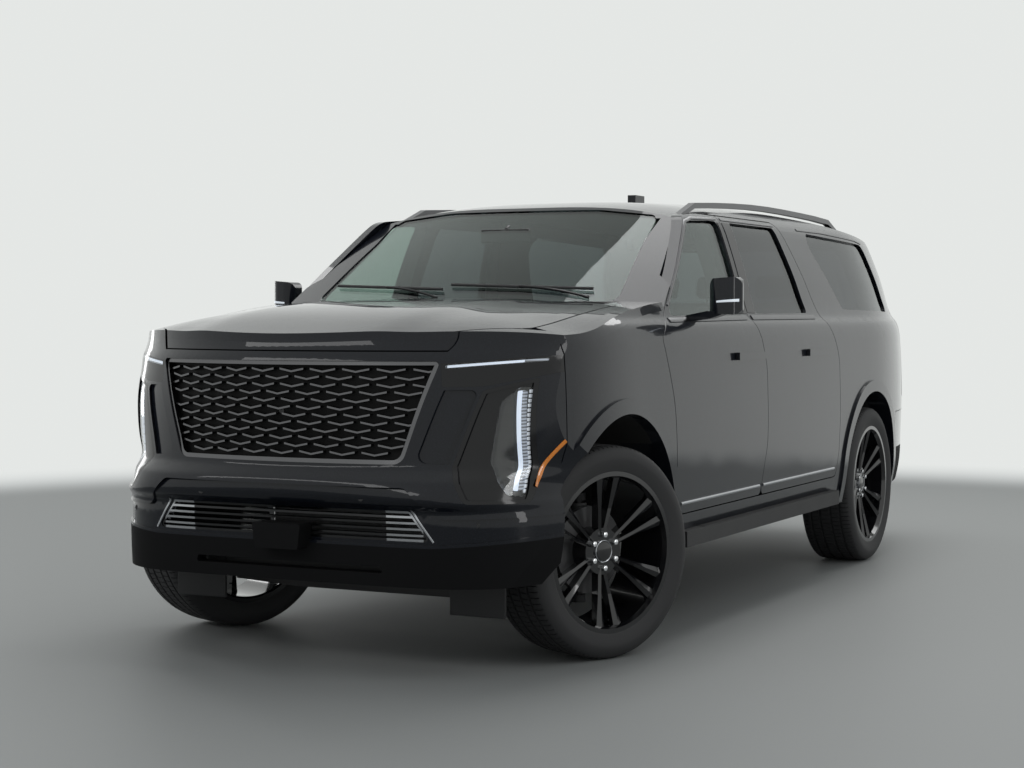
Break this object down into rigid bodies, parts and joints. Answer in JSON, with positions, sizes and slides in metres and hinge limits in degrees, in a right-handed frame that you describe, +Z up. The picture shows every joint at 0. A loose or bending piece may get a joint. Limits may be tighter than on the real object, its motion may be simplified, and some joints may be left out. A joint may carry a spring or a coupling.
{
  "type": "suv",
  "caption": "Large black luxury SUV with a mesh grille, roof rails and gloss black wheels; opening doors, bonnet and liftgate, steered front wheels.",
  "frame": {"origin": "on the ground under the middle of the vehicle's bounding box", "axes": "+Z up, the front faces -Y, the vehicle's left side is +X"},
  "size_m": [2.3692, 5.7861, 1.972],
  "materials": {
    "body_paint": "gloss",
    "privacy_glass": "dark tint",
    "clear_glass": "clear",
    "lamp_clear": "clear",
    "lamp_white": "bright",
    "lamp_red": "gloss",
    "grille_black": "gloss",
    "satin_rail": "satin",
    "wheel_black": "gloss",
    "tyre_rubber": "matte",
    "liner_black": "matte",
    "floor_black": "matte",
    "frame_steel": "satin",
    "cast_metal": "rough",
    "dash_trim": "matte",
    "seat_leather": "soft"
  },
  "bodies": {
    "body": {"left_body_side": "body_paint", "right_body_side": "body_paint", "left_fender": "body_paint", "right_fender": "body_paint", "bulkhead": "floor_black", "roof_panel": "body_paint", "roof_rails": "satin_rail", "windscreen": "clear_glass", "quarter_windows": "privacy_glass", "tail_lamps": "lamp_red", "front_bumper": "body_paint", "grille": "grille_black", "headlamps": "lamp_clear", "lamp_housings": "grille_black", "light_bars": "lamp_white", "rear_bumper": "body_paint", "hitch_receiver": "frame_steel", "running_boards": "liner_black", "floor_pan": "floor_black", "wheel_housings": "liner_black", "chassis_frame": "frame_steel", "engine_block": "cast_metal", "front_suspension": "frame_steel", "rear_axle": "frame_steel", "exhaust": "frame_steel", "dashboard": "dash_trim", "steering_wheel": "dash_trim", "front_seats": "seat_leather", "second_row_seats": "seat_leather", "third_row_bench": "seat_leather"},
    "left_front_door_body": {"left_front_door": "body_paint", "left_front_door_window": "clear_glass", "left_mirror": "body_paint"},
    "left_rear_door_body": {"left_rear_door": "body_paint", "left_rear_door_window": "privacy_glass"},
    "left_knuckle_body": {"left_knuckle": "cast_metal"},
    "left_front_wheel": {"left_front_tyre": "tyre_rubber", "left_front_rim": "wheel_black"},
    "left_rear_wheel": {"left_rear_tyre": "tyre_rubber", "left_rear_rim": "wheel_black"},
    "right_front_door_body": {"right_front_door": "body_paint", "right_front_door_window": "clear_glass", "right_mirror": "body_paint"},
    "right_rear_door_body": {"right_rear_door": "body_paint", "right_rear_door_window": "privacy_glass"},
    "right_knuckle_body": {"right_knuckle": "cast_metal"},
    "right_front_wheel": {"right_front_tyre": "tyre_rubber", "right_front_rim": "wheel_black"},
    "right_rear_wheel": {"right_rear_tyre": "tyre_rubber", "right_rear_rim": "wheel_black"},
    "liftgate_body": {"liftgate": "body_paint", "rear_window": "privacy_glass"},
    "bonnet_body": {"bonnet": "body_paint"}
  },
  "joints": [
    {"name": "left_front_door_hinge", "type": "hinge", "parent": "body", "child": "left_front_door_body", "pos_m": [0.99, -1.345, 0.9], "axis": [0, 0, -1], "range_deg": [0, 68]},
    {"name": "left_rear_door_hinge", "type": "hinge", "parent": "body", "child": "left_rear_door_body", "pos_m": [0.99, -0.231, 0.9], "axis": [0, 0, -1], "range_deg": [0, 68]},
    {"name": "right_front_door_hinge", "type": "hinge", "parent": "body", "child": "right_front_door_body", "pos_m": [-0.99, -1.345, 0.9], "axis": [0, 0, 1], "range_deg": [0, 68]},
    {"name": "right_rear_door_hinge", "type": "hinge", "parent": "body", "child": "right_rear_door_body", "pos_m": [-0.99, -0.231, 0.9], "axis": [0, 0, 1], "range_deg": [0, 68]},
    {"name": "liftgate_hinge", "type": "hinge", "parent": "body", "child": "liftgate_body", "pos_m": [0, 2.15, 1.806], "axis": [1, 0, 0], "range_deg": [0, 80]},
    {"name": "bonnet_hinge", "type": "hinge", "parent": "body", "child": "bonnet_body", "pos_m": [0, -1.588, 1.366], "axis": [-1, 0, 0], "range_deg": [0, 52]},
    {"name": "left_steering", "type": "hinge", "parent": "body", "child": "left_knuckle_body", "pos_m": [0.8, -1.93, 0.419], "axis": [0, 0, 1], "range_deg": [-12.6, 57.4]},
    {"name": "right_steering", "type": "hinge", "parent": "body", "child": "right_knuckle_body", "pos_m": [-0.8, -1.93, 0.419], "axis": [0, 0, 1], "range_deg": [-12.6, 57.4]},
    {"name": "left_front_wheel_spin", "type": "hinge", "parent": "left_knuckle_body", "child": "left_front_wheel", "pos_m": [0.86472, -1.95667, 0.419], "axis": [0.9245, -0.3811, 0], "continuous": true},
    {"name": "right_front_wheel_spin", "type": "hinge", "parent": "right_knuckle_body", "child": "right_front_wheel", "pos_m": [-0.86472, -1.90332, 0.419], "axis": [0.9245, -0.3811, 0], "continuous": true},
    {"name": "left_rear_wheel_spin", "type": "hinge", "parent": "body", "child": "left_rear_wheel", "pos_m": [0.87, 1.477, 0.419], "axis": [1, 0, 0], "continuous": true},
    {"name": "right_rear_wheel_spin", "type": "hinge", "parent": "body", "child": "right_rear_wheel", "pos_m": [-0.87, 1.477, 0.419], "axis": [1, 0, 0], "continuous": true}
  ],
  "couplings": [
    {"joint": "right_steering", "follows": "left_steering", "ratio": 1}
  ]
}
